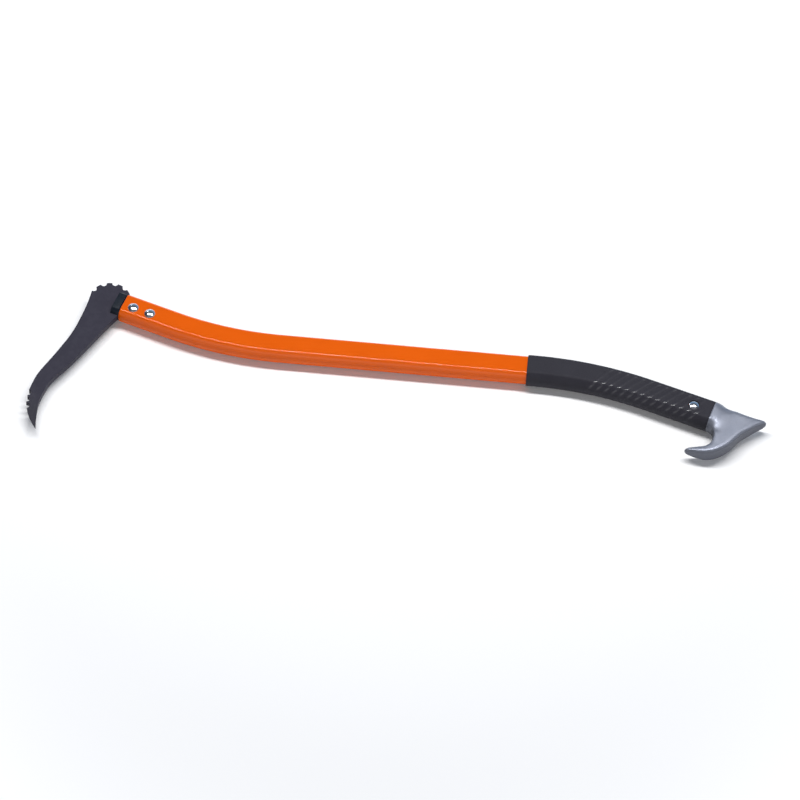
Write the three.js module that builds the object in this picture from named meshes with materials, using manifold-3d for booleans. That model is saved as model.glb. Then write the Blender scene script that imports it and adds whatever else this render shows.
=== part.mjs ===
// A pickaroon, lying on its side: a steel log hook on a bent flat-oval tube with a grip and an end claw.
// X runs along the straight middle of the handle, from the hook towards the grip.
// Y points away from the hook's tip, and Z is up, through the thickness.
// Lengths are in millimetres.
import * as THREE from 'three';
import { mergeVertices } from 'three/addons/utils/BufferGeometryUtils.js';
import Module from 'manifold-3d';

const wasm = await Module();
wasm.setup();

const degrees = Math.PI / 180;

// Fits and cutters
const fitGap = 0.3; // between two pieces that touch
const cutOverrun = 1; // how far a cutter runs past what it cuts

// Handle tube: a section with two flat faces and two bowed sides
const tubeWidth = 31.5;
const tubeThickness = 21.5;
const tubeFlatWidth = 18.7;
const tubeEdgeRadius = 2.6;
const leastEdgeRadius = 0.2;
const tubeWall = 2;

// Handle axis, from the hook end to the grip end
const hookStraight = 59.6;
const hookBendRadius = 400;
const hookBendAngle = 17.4 * degrees;
const middleStraight = 277;
const gripBendRadius = 425;
const gripBendAngle = 17 * degrees;
const gripStraight = 72.5;

// Grip sleeve, drawn over the end of the tube
const gripLength = 207;
const gripWall = 1.3;
const gripHoleClearance = 0.5;
const sleeveMargin = 1; // bare tube ahead of the sleeve that the flat faces leave out

// Rivets, with a domed head on both sides
const rivetHeadDiameter = 11.8;
const rivetShankDiameter = 6;
const rivetRimHeight = 0.4;
const rivetDomeHeight = 1.8;
const hookRivetOffset = 2.9; // from the handle axis, towards the hook's tip
const gripRivetOffset = 0.9;
const hookRivetInset = 12.7;
const hookRivetSpacing = 19.7;
const gripRivetInset = 20;

// Hook plate: a toothed crown, a long blade and a tang in the tube
const plateThickness = 8;
const crownRadius = 23.4;
const crownRise = 0.7; // the crown's centre, from the handle axis
const crownStartAngle = 42.3 * degrees;
const crownEndAngle = 172 * degrees;
const crownNotchCount = 4;
const crownNotchRadius = 3.2;
const crownFirstNotchAngle = 68.5 * degrees;
const crownNotchPitchAngle = 31 * degrees;
const bladeReach = 183;
const bladeSweep = 48;
const tipThickness = 1.4;
const tipGrindLength = 42;
const tipNotchCount = 3;
const tipNotchRadius = 2.4;
const tangWidth = 19;
const tangLength = 48;

// Places on the blade's edges: how far ahead of the tube, in shares of the sweep,
// and how far down from the handle axis, in shares of the reach
const outerEdgeShares = [
  [0.79, 0.087],
  [0.765, 0.284],
  [0.856, 0.459],
  [0.975, 0.619],
  [0.998, 0.69],
  [0.98, 0.78],
];
const tipEdgeShares = [[0.905, 0.855], [0.825, 0.893], [0.685, 0.94], [0.565, 0.97], [0.415, 1]];
const innerEdgeShares = [
  [0.515, 0.939],
  [0.637, 0.838],
  [0.664, 0.745],
  [0.635, 0.655],
  [0.442, 0.498],
  [0.275, 0.333],
  [0.123, 0.173],
];
const tipNotchFirstShare = 0.05;
const tipNotchPitchShare = 0.165;

// Tang shells: two halves that pack the tang in the tube and form a collar outside it
const collarLength = 9.5;
const collarInset = 0.4;
const shellLength = 54;

// End claw: a plate with a beak and a finger, on a neck and a spigot
const clawThickness = 20;
const clawEdgeChamfer = 1.4;
const clawLength = 58.3;
const clawDepth = 54.2;
const clawNeckLength = 9;
const clawNeckTaper = 1.2;
const spigotLength = 45;
const beakRadius = 1.6;
const beakRise = 14; // from the handle axis
const beakThickness = 11;
const beakTaperLength = 18;
const fingerTipRadius = 1.8;
const fingerTipThickness = 8;
const fingerTaperLength = 19;
const fingerHook = 11.3; // how far the finger reaches back over the grip
const beakStartAngle = 105 * degrees;
const beakEndAngle = -30 * degrees;
const fingerStartAngle = -90 * degrees;
const fingerEndAngle = -240 * degrees;

// Places on the claw's outline: along the handle axis in shares of the claw's length,
// and across it in shares of the claw's depth
const clawBackShares = [
  [0.015, 0.268],
  [0.237, 0.242],
  [0.422, 0.217],
  [0.602, 0.214],
  [0.774, 0.23],
  [0.914, 0.27],
];
const clawFrontShares = [
  [0.854, 0.066],
  [0.762, -0.088],
  [0.674, -0.251],
  [0.624, -0.385],
  [0.561, -0.554],
  [0.463, -0.723],
  [0.341, -0.857],
  [0.214, -0.936],
  [0.072, -0.974],
  [-0.067, -0.992],
];
const clawMouthShares = [
  [-0.093, -0.892],
  [0.009, -0.85],
  [0.11, -0.804],
  [0.18, -0.73],
  [0.211, -0.635],
  [0.199, -0.499],
  [0.156, -0.376],
  [0.089, -0.306],
  [0.012, -0.272],
];

// Fineness of round stretches
const sideSegments = 5;
const edgeSegments = 2;
const bendSegments = 8;
const roundSegments = 24;
const notchSegments = 16;
const domeSegments = 4;
const crownSegments = 20;
const bladeSegments = 24;
const clawSegments = 20;
const clawTipSegments = 4;

// Distances along the handle axis
const hookBendStart = hookStraight;
const hookBendEnd = hookBendStart + hookBendRadius * hookBendAngle;
const gripBendStart = hookBendEnd + middleStraight;
const gripBendEnd = gripBendStart + gripBendRadius * gripBendAngle;
const axisEnd = gripBendEnd + gripStraight;
const gripStart = axisEnd - gripLength;

// The grip's outer surface stands this far outside the tube's
const gripOffset = fitGap + gripWall;

// The part of the tube's bore that the shells and the spigot fill
const boreFillOffset = -tubeWall - fitGap;

// Place and heading on the handle axis at a distance from the hook end
function axisPose(distance) {
  if (distance <= hookBendEnd) {
    const turned = Math.min((hookBendEnd - distance) / hookBendRadius, hookBendAngle);
    const straight = Math.max(hookBendStart - distance, 0);
    return {
      x: -middleStraight / 2 - hookBendRadius * Math.sin(turned) - straight * Math.cos(turned),
      y: hookBendRadius * (1 - Math.cos(turned)) + straight * Math.sin(turned),
      heading: -turned,
    };
  }
  if (distance <= gripBendStart) {
    return { x: distance - hookBendEnd - middleStraight / 2, y: 0, heading: 0 };
  }
  const turned = Math.min((distance - gripBendStart) / gripBendRadius, gripBendAngle);
  const straight = Math.max(distance - gripBendEnd, 0);
  return {
    x: middleStraight / 2 + gripBendRadius * Math.sin(turned) + straight * Math.cos(turned),
    y: -gripBendRadius * (1 - Math.cos(turned)) - straight * Math.sin(turned),
    heading: -turned,
  };
}

// A stretch of the handle axis, with its steps only at its ends, in the bends and just ahead
// of the sleeve, where the tube's bare flat faces end
class AxisStretch extends THREE.Curve {
  constructor(from, to) {
    super();
    const places = [
      ...evenPlaces(hookBendStart, hookBendEnd, bendSegments),
      gripStart - sleeveMargin,
      ...evenPlaces(gripBendStart, gripBendEnd, bendSegments),
    ];
    this.stations = [from, ...places.filter((place) => place > from && place < to), to];
  }

  poseAt(t) {
    const steps = this.stations.length - 1;
    const step = Math.min(Math.floor(t * steps), steps - 1);
    const distance = THREE.MathUtils.lerp(this.stations[step], this.stations[step + 1], t * steps - step);
    return axisPose(distance);
  }

  getPoint(t) {
    const pose = this.poseAt(t);
    return new THREE.Vector3(pose.x, pose.y, 0);
  }

  getPointAt(u) {
    return this.getPoint(u);
  }

  getTangentAt(u) {
    const { heading } = this.poseAt(u);
    return new THREE.Vector3(Math.cos(heading), Math.sin(heading), 0);
  }
}

function evenPlaces(from, to, count) {
  return Array.from({ length: count + 1 }, (_, i) => THREE.MathUtils.lerp(from, to, i / count));
}

function arcPoints(x, y, radius, from, to, segments) {
  const angles = evenPlaces(from, to, segments);
  const reach = (angle) => new THREE.Vector2(radius * Math.cos(angle), radius * Math.sin(angle));
  return angles.map((angle) => reach(angle).add(new THREE.Vector2(x, y)));
}

// The tube's outer section grown by an offset, with the width along y and the thickness along x
function ovalSection(offset) {
  const edge = Math.max(tubeEdgeRadius + offset, leastEdgeRadius);
  const halfFlat = tubeFlatWidth / 2;
  const edgeCentreUp = tubeThickness / 2 + offset - edge;
  const edgeReach = tubeWidth / 2 + offset - edge;
  const sideCentre = (edgeReach ** 2 - halfFlat ** 2 - edgeCentreUp ** 2) / (2 * (edgeReach - halfFlat));
  const sideRadius = tubeWidth / 2 + offset - sideCentre;
  const joinAngle = Math.atan2(edgeCentreUp, halfFlat - sideCentre);
  const quarter = [
    ...arcPoints(sideCentre, 0, sideRadius, 0, joinAngle, sideSegments),
    ...arcPoints(halfFlat, edgeCentreUp, edge, joinAngle, Math.PI / 2, edgeSegments).slice(1),
  ];
  const mirrored = quarter.slice(1).reverse().map((p) => new THREE.Vector2(p.x, -p.y));
  const half = [...mirrored, ...quarter];
  const whole = [...half, ...half.map((p) => new THREE.Vector2(-p.x, -p.y))];
  return whole.map((p) => new THREE.Vector2(-p.y, p.x));
}

function sweepAlongAxis(outer, bore, from, to) {
  const shape = new THREE.Shape(outer);
  shape.holes.push(new THREE.Path(bore));
  const path = new AxisStretch(from, to);
  const steps = path.stations.length - 1;
  return toSolid(new THREE.ExtrudeGeometry(shape, { steps, extrudePath: path }));
}

// A straight bar of the given section, along x
function bar(section, from, to) {
  const path = new THREE.LineCurve3(new THREE.Vector3(from, 0, 0), new THREE.Vector3(to, 0, 0));
  return toSolid(new THREE.ExtrudeGeometry(new THREE.Shape(section), { steps: 1, extrudePath: path }));
}

// A plate of the given outline, centred on z = 0, with its edges chamfered inside the outline
function plate(outline, thickness, chamfer) {
  const geometry = new THREE.ExtrudeGeometry(new THREE.Shape(outline), {
    depth: thickness - 2 * chamfer,
    bevelEnabled: chamfer > 0,
    bevelThickness: chamfer,
    bevelSize: chamfer,
    bevelOffset: -chamfer,
    bevelSegments: 1,
  });
  return toSolid(geometry.translate(0, 0, chamfer - thickness / 2));
}

function prismGeometry(profile, depth) {
  return new THREE.ExtrudeGeometry(new THREE.Shape(profile), { depth, bevelEnabled: false });
}

// A prism along x whose profile gives y and z
function prismAlongX(profile, from, to) {
  const geometry = prismGeometry(profile, to - from);
  return toSolid(geometry.rotateX(Math.PI / 2).rotateZ(Math.PI / 2).translate(from, 0, 0));
}

// A prism along y whose profile gives x and z
function prismAlongY(profile, from, to) {
  const geometry = prismGeometry(profile, to - from);
  return toSolid(geometry.rotateX(Math.PI / 2).translate(0, to, 0));
}

function box(fromX, toX, fromY, toY, fromZ, toZ) {
  const geometry = new THREE.BoxGeometry(toX - fromX, toY - fromY, toZ - fromZ);
  return toSolid(geometry.translate((fromX + toX) / 2, (fromY + toY) / 2, (fromZ + toZ) / 2));
}

// A cutter for a round hole or notch through the whole thickness
function roundCutter(x, y, radius, segments) {
  const height = tubeThickness + 2 * gripOffset + 2 * cutOverrun;
  const geometry = new THREE.CylinderGeometry(radius, radius, height, segments);
  return toSolid(geometry.rotateX(Math.PI / 2).translate(x, y, 0));
}

function toSolid(geometry) {
  const bare = geometry.clone();
  bare.deleteAttribute('normal');
  bare.deleteAttribute('uv');
  const merged = mergeVertices(bare);
  return new wasm.Manifold(new wasm.Mesh({
    numProp: 3,
    vertProperties: Float32Array.from(merged.attributes.position.array),
    triVerts: Uint32Array.from(merged.index.array),
  }));
}

function toGeometry(solid) {
  const { numProp, vertProperties, triVerts } = solid.getMesh();
  const geometry = new THREE.BufferGeometry();
  geometry.setAttribute('position', new THREE.BufferAttribute(vertProperties, numProp));
  geometry.setIndex(new THREE.BufferAttribute(triVerts, 1));
  geometry.computeVertexNormals();
  return geometry;
}

function piece(name, solid, look) {
  const mesh = new THREE.Mesh(toGeometry(solid), new THREE.MeshStandardMaterial(look));
  mesh.name = name;
  return mesh;
}

// Finishes
const orangePaint = { color: 0xe8620e, roughness: 0.25, metalness: 0 };
const darkSteel = { color: 0x3e3a48, roughness: 0.55, metalness: 0.6 };
const blackPlastic = { color: 0x14181e, roughness: 0.6, metalness: 0 };
const brightSteel = { color: 0xc8ccd2, roughness: 0.2, metalness: 1 };
const blackRubber = { color: 0x2e2c34, roughness: 0.7, metalness: 0 };
const greyCasting = { color: 0x9699aa, roughness: 0.4, metalness: 0.5 };

function pointAt(shares, length, depth) {
  return new THREE.Vector2(shares[0] * length, shares[1] * depth);
}

// Points on the blade lie ahead of the tube and below the handle axis
function bladePoint(shares) {
  return pointAt(shares, -bladeSweep, -bladeReach);
}

// The middle of the crown's circle
function crownCentre() {
  return new THREE.Vector2(-fitGap - crownRadius * Math.cos(crownStartAngle), crownRise);
}

function crownPoints() {
  const { x, y } = crownCentre();
  return arcPoints(x, y, crownRadius, crownStartAngle, crownEndAngle, crownSegments);
}

// The toothed edge, from the blade's outer edge to its tip
function tipEdge() {
  return new THREE.SplineCurve([outerEdgeShares.at(-1), ...tipEdgeShares].map(bladePoint));
}

function plateOutline() {
  const crown = crownPoints();
  const outer = new THREE.SplineCurve([crown.at(-1), ...outerEdgeShares.map(bladePoint)]);
  const tip = bladePoint(tipEdgeShares.at(-1));
  const shoulder = new THREE.Vector2(-fitGap, -tubeWidth / 2 + tubeEdgeRadius);
  const inner = new THREE.SplineCurve([tip, ...innerEdgeShares.map(bladePoint), shoulder]);
  return [
    new THREE.Vector2(-fitGap, -tangWidth / 2),
    new THREE.Vector2(tangLength, -tangWidth / 2),
    new THREE.Vector2(tangLength, tangWidth / 2),
    new THREE.Vector2(-fitGap, tangWidth / 2),
    ...crown,
    ...outer.getPoints(bladeSegments).slice(1),
    ...tipEdge().getPoints(bladeSegments).slice(1),
    ...inner.getPoints(bladeSegments).slice(1),
  ];
}

// The blade keeps its full thickness down to the ground tip, where both faces slope in
function tipGrind(side) {
  const full = side * plateThickness / 2;
  const clear = side * (plateThickness / 2 + cutOverrun);
  const profile = [
    new THREE.Vector2(-bladeReach + tipGrindLength, full),
    new THREE.Vector2(-bladeReach - cutOverrun, side * tipThickness / 2),
    new THREE.Vector2(-bladeReach - cutOverrun, clear),
    new THREE.Vector2(-bladeReach + tipGrindLength, clear),
  ];
  return prismAlongX(profile, -bladeSweep - cutOverrun, tangLength);
}

function hookBlade() {
  let solid = plate(plateOutline(), plateThickness, 0).subtract(tipGrind(1)).subtract(tipGrind(-1));
  const centre = crownCentre();
  const lastNotchAngle = crownFirstNotchAngle + (crownNotchCount - 1) * crownNotchPitchAngle;
  const places = arcPoints(
    centre.x,
    centre.y,
    crownRadius,
    crownFirstNotchAngle,
    lastNotchAngle,
    crownNotchCount - 1,
  );
  for (const place of places) {
    solid = solid.subtract(roundCutter(place.x, place.y, crownNotchRadius, notchSegments));
  }
  const edge = tipEdge();
  for (let i = 0; i < tipNotchCount; i += 1) {
    const { x, y } = edge.getPointAt(tipNotchFirstShare + i * tipNotchPitchShare);
    solid = solid.subtract(roundCutter(x, y, tipNotchRadius, notchSegments));
  }
  return piece('hook_blade', cutHookRivetHoles(solid), darkSteel);
}

function hookRivetPlaces() {
  return [hookRivetInset, hookRivetInset + hookRivetSpacing];
}

function cutHookRivetHoles(solid) {
  const radius = rivetShankDiameter / 2 + fitGap;
  const holes = hookRivetPlaces().map((x) => roundCutter(x, -hookRivetOffset, radius, roundSegments));
  return holes.reduce((cut, hole) => cut.subtract(hole), solid);
}

// The packing round the tang in one piece, with its collar outside the tube
function tangPacking() {
  const front = -fitGap - collarLength;
  const halfWidth = tubeWidth / 2 + cutOverrun;
  const halfSlot = plateThickness / 2 + fitGap;
  const halfPocket = tangWidth / 2 + fitGap;
  const filler = bar(ovalSection(boreFillOffset), front, shellLength);
  const collar = bar(ovalSection(-collarInset), front, -fitGap);
  const slot = box(front - cutOverrun, 0, -halfWidth, halfWidth, -halfSlot, halfSlot);
  const pocket = box(-cutOverrun, tangLength + fitGap, -halfPocket, halfPocket, -halfSlot, halfSlot);
  return cutHookRivetHoles(filler.add(collar).subtract(slot).subtract(pocket));
}

// The half of the packing on one side: 1 for the upper half and -1 for the lower
function tangShell(name, side) {
  const halfWidth = tubeWidth / 2 + cutOverrun;
  const near = side * fitGap / 2;
  const far = side * (tubeThickness / 2 + cutOverrun);
  const keep = box(
    -fitGap - collarLength - cutOverrun,
    shellLength + cutOverrun,
    -halfWidth,
    halfWidth,
    Math.min(near, far),
    Math.max(near, far),
  );
  return piece(name, tangPacking().intersect(keep), blackPlastic);
}

function handleTube() {
  let solid = sweepAlongAxis(ovalSection(0), ovalSection(-tubeWall), 0, axisEnd);
  const radius = rivetShankDiameter / 2 + fitGap;
  const hookPlaces = hookRivetPlaces().map((distance) => offAxis(distance, -hookRivetOffset));
  for (const place of [...hookPlaces, gripRivetPlace()]) {
    solid = solid.subtract(roundCutter(place.x, place.y, radius, roundSegments));
  }
  return piece('handle_tube', solid, orangePaint);
}

// A place beside the handle axis: a distance along it, then an offset square to it
function offAxis(distance, across) {
  const pose = axisPose(distance);
  const sideways = new THREE.Vector2(-Math.sin(pose.heading), Math.cos(pose.heading));
  return sideways.multiplyScalar(across).add(new THREE.Vector2(pose.x, pose.y));
}

function gripRivetPlace() {
  return offAxis(axisEnd - gripRivetInset, -gripRivetOffset);
}

function gripSleeve() {
  const place = gripRivetPlace();
  const hole = roundCutter(place.x, place.y, rivetHeadDiameter / 2 + gripHoleClearance, roundSegments);
  const sleeve = sweepAlongAxis(ovalSection(gripOffset), ovalSection(fitGap), gripStart, axisEnd);
  return piece('grip_sleeve', sleeve.subtract(hole), blackRubber);
}

function rivet(name, x, y) {
  const seat = tubeThickness / 2 + fitGap;
  const headRadius = rivetHeadDiameter / 2;
  const shankRadius = rivetShankDiameter / 2;
  const domeRadius = (headRadius ** 2 + rivetDomeHeight ** 2) / (2 * rivetDomeHeight);
  const domeCentre = seat + rivetRimHeight + rivetDomeHeight - domeRadius;
  const domeAngle = Math.acos(headRadius / domeRadius);
  const dome = arcPoints(0, domeCentre, domeRadius, domeAngle, Math.PI / 2, domeSegments).slice(0, -1);
  const tip = new THREE.Vector2(0, domeCentre + domeRadius);
  const upper = [new THREE.Vector2(shankRadius, seat), new THREE.Vector2(headRadius, seat), ...dome, tip];
  const lower = upper.map((p) => new THREE.Vector2(p.x, -p.y)).reverse();
  const geometry = new THREE.LatheGeometry([...lower, ...upper], roundSegments).rotateX(Math.PI / 2);
  const mesh = piece(name, toSolid(geometry), brightSteel);
  mesh.position.set(x, y, 0);
  return mesh;
}

function clawPoint(shares) {
  return pointAt(shares, clawLength, clawDepth);
}

function clawOutline() {
  const beakX = clawLength - beakRadius;
  const beak = arcPoints(beakX, beakRise, beakRadius, beakStartAngle, beakEndAngle, clawTipSegments);
  const fingerX = fingerTipRadius - fingerHook;
  const fingerY = fingerTipRadius - clawDepth;
  const fingerAngles = [fingerStartAngle, fingerEndAngle];
  const finger = arcPoints(fingerX, fingerY, fingerTipRadius, ...fingerAngles, clawTipSegments);
  const back = new THREE.SplineCurve([...clawBackShares.map(clawPoint), beak[0]]);
  const front = new THREE.SplineCurve([beak.at(-1), ...clawFrontShares.map(clawPoint), finger[0]]);
  const mouth = new THREE.SplineCurve([finger.at(-1), ...clawMouthShares.map(clawPoint)]);
  return [
    ...back.getPoints(clawSegments / 2),
    ...beak.slice(1),
    ...front.getPoints(clawSegments).slice(1),
    ...finger.slice(1),
    ...mouth.getPoints(clawSegments).slice(1),
  ];
}

// A wedge that thins the beak or the finger evenly on one side, from its root to its tip
function taperWedge(side, rootX, tipX, tipThickness, fromY, toY) {
  const full = side * clawThickness / 2;
  const profile = [
    new THREE.Vector2(rootX, full),
    new THREE.Vector2(tipX, side * tipThickness / 2),
    new THREE.Vector2(tipX, full + side * cutOverrun),
    new THREE.Vector2(rootX, full + side * cutOverrun),
  ];
  return prismAlongY(profile, fromY, toY);
}

function thinTips(body, side) {
  const fingerRoot = fingerTaperLength - fingerHook;
  const beakRoot = clawLength - beakTaperLength;
  const below = -clawDepth - cutOverrun;
  const finger = taperWedge(side, fingerRoot, -fingerHook, fingerTipThickness, below, -clawDepth / 2);
  const beak = taperWedge(side, beakRoot, clawLength, beakThickness, below, clawDepth);
  return body.subtract(finger).subtract(beak);
}

function endClaw() {
  const hook = thinTips(thinTips(plate(clawOutline(), clawThickness, clawEdgeChamfer), 1), -1);
  const neck = bar(ovalSection(gripOffset), fitGap, clawNeckLength);
  const taper = bar(ovalSection(gripOffset - clawNeckTaper), fitGap, clawNeckLength + clawNeckTaper);
  const spigot = bar(ovalSection(boreFillOffset), -spigotLength, clawNeckLength);
  const holeRadius = rivetShankDiameter / 2 + fitGap;
  const hole = roundCutter(-gripRivetInset, -gripRivetOffset, holeRadius, roundSegments);
  return piece('end_claw', hook.add(neck).add(taper).add(spigot).subtract(hole), greyCasting);
}

// A group whose x axis follows the handle axis at the given distance
function stationGroup(distance, ...pieces) {
  const pose = axisPose(distance);
  const group = new THREE.Group();
  group.position.set(pose.x, pose.y, 0);
  group.rotation.z = pose.heading;
  group.add(...pieces);
  return group;
}

function buildPickaroon() {
  const [frontRivet, rearRivet] = hookRivetPlaces();
  const tool = new THREE.Group();
  tool.add(handleTube(), gripSleeve());
  tool.add(stationGroup(
    0,
    hookBlade(),
    tangShell('tang_shell_upper', 1),
    tangShell('tang_shell_lower', -1),
    rivet('hook_rivet_front', frontRivet, -hookRivetOffset),
    rivet('hook_rivet_rear', rearRivet, -hookRivetOffset),
  ));
  const gripRivet = rivet('grip_rivet', -gripRivetInset, -gripRivetOffset);
  tool.add(stationGroup(axisEnd, endClaw(), gripRivet));
  return tool;
}

// The origin is under the middle of the whole tool, on the surface that it lies on
const pickaroon = new THREE.Group();
const tool = buildPickaroon();
const bounds = new THREE.Box3().setFromObject(tool, true);
const middle = bounds.getCenter(new THREE.Vector3());
tool.position.set(-middle.x, -middle.y, -bounds.min.z);
pickaroon.add(tool);

export default pickaroon;
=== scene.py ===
import math

import bmesh
import bpy
import numpy as np
from mathutils import Matrix, Vector
from mathutils.geometry import delaunay_2d_cdt


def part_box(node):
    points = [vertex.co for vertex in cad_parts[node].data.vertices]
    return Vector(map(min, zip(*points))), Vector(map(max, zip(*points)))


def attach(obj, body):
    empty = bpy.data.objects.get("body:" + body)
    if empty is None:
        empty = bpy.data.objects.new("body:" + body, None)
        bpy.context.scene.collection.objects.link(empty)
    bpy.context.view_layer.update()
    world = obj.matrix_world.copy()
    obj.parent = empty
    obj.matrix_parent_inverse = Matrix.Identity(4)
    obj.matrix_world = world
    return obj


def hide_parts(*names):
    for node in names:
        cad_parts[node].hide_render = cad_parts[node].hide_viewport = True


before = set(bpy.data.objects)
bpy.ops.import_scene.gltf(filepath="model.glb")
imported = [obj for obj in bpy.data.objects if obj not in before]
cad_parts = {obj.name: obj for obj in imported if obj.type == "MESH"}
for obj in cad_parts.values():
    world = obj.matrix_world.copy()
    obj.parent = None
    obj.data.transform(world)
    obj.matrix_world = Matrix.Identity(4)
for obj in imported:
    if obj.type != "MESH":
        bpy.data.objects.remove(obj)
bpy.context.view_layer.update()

MM = 0.001

# The part's own clearance between its pieces
GAP = 0.3

# The place of the handle's own frame: the middle of its straight stretch, on its mid-plane
TOOL_AT = Vector((5.633, 33.542, 13.25))

# Handle tube: its section, and its axis from the hook to the claw, with each bend's radius and angle
TUBE_WIDTH = 31.5
TUBE_THICKNESS = 21.5
TUBE_FLAT = 18.7
TUBE_EDGE = 2.6
TUBE_WALL = 2.0
HOOK_STRAIGHT = 59.6
HOOK_BEND = (400.0, math.radians(17.4))
MIDDLE = 277.0
GRIP_BEND = (425.0, math.radians(17.0))
GRIP_STRAIGHT = 72.5

HOOK_BEND_END = HOOK_STRAIGHT + HOOK_BEND[0] * HOOK_BEND[1]
GRIP_BEND_START = HOOK_BEND_END + MIDDLE
GRIP_BEND_END = GRIP_BEND_START + GRIP_BEND[0] * GRIP_BEND[1]
AXIS_END = GRIP_BEND_END + GRIP_STRAIGHT

# Steps of the meshes along the axis: in the bends, and on the straights
OUTSIDE_STEPS = (3.0, 12.0)
BORE_STEPS = (6.0, 24.0)
SLEEVE_BORE_STEPS = (4.0, 12.0)

# Details of the section: the least radius of its edges, and the points along half of a flat
LEAST_EDGE = 0.2
FLAT_MARGIN = 0.25
FLAT_STEPS = 6

# Rounded rims, as distances from the end and offsets from the full section
TUBE_RIM = ((0.0, -0.7), (0.1, -0.4), (0.35, -0.15), (0.7, -0.03), (0.9, 0.0))
SLEEVE_RIM = ((0.0, -0.75), (0.12, -0.42), (0.35, -0.16), (0.75, -0.03), (1.2, 0.0))
BORE_RIM_LENGTH = 0.4
BORE_RIM_DEPTH = 0.3

# Grip sleeve: its front end is cut a little aslant, and its rear end turns in over the tube's end
GRIP_LENGTH = 207.0
GRIP_START = AXIS_END - GRIP_LENGTH
GRIP_OFFSET = 1.6
GRIP_SLANT = 0.06
GRIP_SET_FORWARD = 0.5
SLANT_LENGTH = 40
PAST_TUBE = 0.22
LIP_FACE = 0.08
LIP_DEPTH = 0.8
PLAIN_RINGS, RIBBED_RINGS = 12, 240
SMOOTH_END = 6

# Ribs of the sleeve
RIB_PITCH = 8.9
RIB_SLANT = 0.67
RIB_DEPTH = 0.45
RIB_COUNT = 14
RIB_FIRST = 83.9
RIB_FLANK = (0.1, 0.8)
RIB_CREST = (0.15, 0.55)
# The plain stretch's share of wear and painted highlight
PLAIN_POLISH_AND_GLINT = 0.12

# Where the ribs end towards the claw and round the back, and where they lie flush round the rivet
RIBS_TO_CLAW = (GRIP_LENGTH - 13, GRIP_LENGTH - 8)
RIBS_TO_BACK = (8.5, 12)
RIVET_PAD = (7.2, 8.6)
PAD_HEIGHT = 9

# Rivets
RIVET_HEAD = 5.9
RIVET_SHANK = 3.0
RIVET_DOME = 1.8
RIVET_RIM = 0.4
RIVET_LIP = ((0.25, 0.0), (0.06, 0.08), (0.0, 0.22))
RIVET_SEGMENTS = 72
RIVET_RINGS = 22
RIVET_DOME_START = 0.985
HOOK_RIVETS = ((12.7, -2.9), (32.4, -2.9))
GRIP_RIVET = (AXIS_END - 20.0, -0.9)
RIVET_HOLE_GAP = 0.15
HOLE_SEGMENTS = 64
HOLE_DEPTH = 50

# Hook plate: the crown, from the tube round to the blade's back, with its notches at angles in degrees
PLATE = 8.0
CROWN_RADIUS = 23.4
CROWN_FROM, CROWN_TO = math.radians(42.3), math.radians(172)
CROWN_CENTRE = Vector((-GAP - CROWN_RADIUS * math.cos(CROWN_FROM), 0.7))
CROWN_NOTCH = 3.2
CROWN_NOTCH_ANGLES = [68.5 + 31 * i for i in range(4)]

# The blade's outline, in shares of its sweep and its reach
REACH = 183.0
SWEEP = 48.0
OUTER = ((0.79, 0.087), (0.765, 0.284), (0.856, 0.459), (0.975, 0.619), (0.998, 0.69), (0.98, 0.78))
TIP = ((0.905, 0.855), (0.825, 0.893), (0.685, 0.94), (0.565, 0.97), (0.415, 1))
INNER = (
    (0.515, 0.939), (0.637, 0.838), (0.664, 0.745), (0.635, 0.655), (0.442, 0.498), (0.275, 0.333),
    (0.123, 0.173),
)
CROWN_STEPS, OUTER_STEPS, TIP_STEPS, INNER_STEPS = 150, 110, 110, 130

# Notches near the tip, at shares of the tip's curve
TIP_NOTCH = 3.0
TIP_NOTCH_SET_IN = 0.4
TIP_NOTCH_SHARES = [0.05 + 0.165 * i for i in range(3)]
TIP_NOTCH_AHEAD = 0.02

# The ground tip
TIP_THICKNESS = 1.4
GRIND_LENGTH = 42.0
GRIND_PAST_TIP = 1
GRIND_EASE = 0.12
GRIND_STEP = 2.5

# The plate's softened edge: its size, at most a share of half the thickness, and its rings from below,
# each with its side of the plate, its share of the size inwards and its share off the face
EDGE_BREAK = 0.35
EDGE_BREAK_SHARE = 0.4
EDGE_RINGS = ((-1, 0.9, 0), (-1, 0.3, 0.3), (-1, 0, 1), (1, 0, 1), (1, 0.3, 0.3), (1, 0.9, 0))
POINT_REACH = 4
CORNER_REACH = 0.55
CORNER_ANGLE = math.radians(25)
CORNER_LIMIT = 0.55
SHORTEST_EDGE = 0.02

TANG_WIDTH = 19.0
TANG_LENGTH = 48.0

# Collar: its softened edges, and the groove that it leaves at the tube's end
COLLAR_EDGE = 0.5
GROOVE_CUT = -1.5
GROOVE_FROM = -0.6
GROOVE_WIDTH_SHARE = 0.93
GROOVE_HEIGHT_SHARE = 0.82

# End claw, in its own frame: x along the axis from the handle's end, y across, z up
CLAW_HALF = 10
FINGER_TIP = -11.3
BEAK_TAPER_FROM, BEAK_CURVE_FROM, BEAK_TIP, BEAK_LOSS = 40.3, 22, 58.3, 4.5
FINGER_TAPER_FROM, FINGER_CURVE_FROM, FINGER_LOSS = 7.7, 24, 6
FINGER_BAND = (-38, -30)
FINGER_BAND_AFTER = (-36, -30)
FINGER_BELOW = -35
BEAK_STRETCH, BEAK_STRETCHED = 3.2, (38, 58)
FINGER_STRETCH, FINGER_STRETCHED = 3.0, (-11, 8)
HELD_AT_SLEEVE = (0.9, 3.5)
NECK_FROM, NECK_TO, NECK_ABOVE = (1.8, 5.5), (14, 26), (-24, -17)
SMOOTHING = 0.6
NOSE_LENGTH = 4.5
NOSE_THINNING = 0.45
BEAK_FIT_LENGTH = 22


def smoothstep(low, high, value):
    t = min(max((value - low) / (high - low), 0.0), 1.0)
    return t * t * (3 - 2 * t)


def rise(least, low, high, value):
    """A share that goes smoothly from its least value to 1."""
    return least + (1 - least) * smoothstep(low, high, value)


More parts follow.
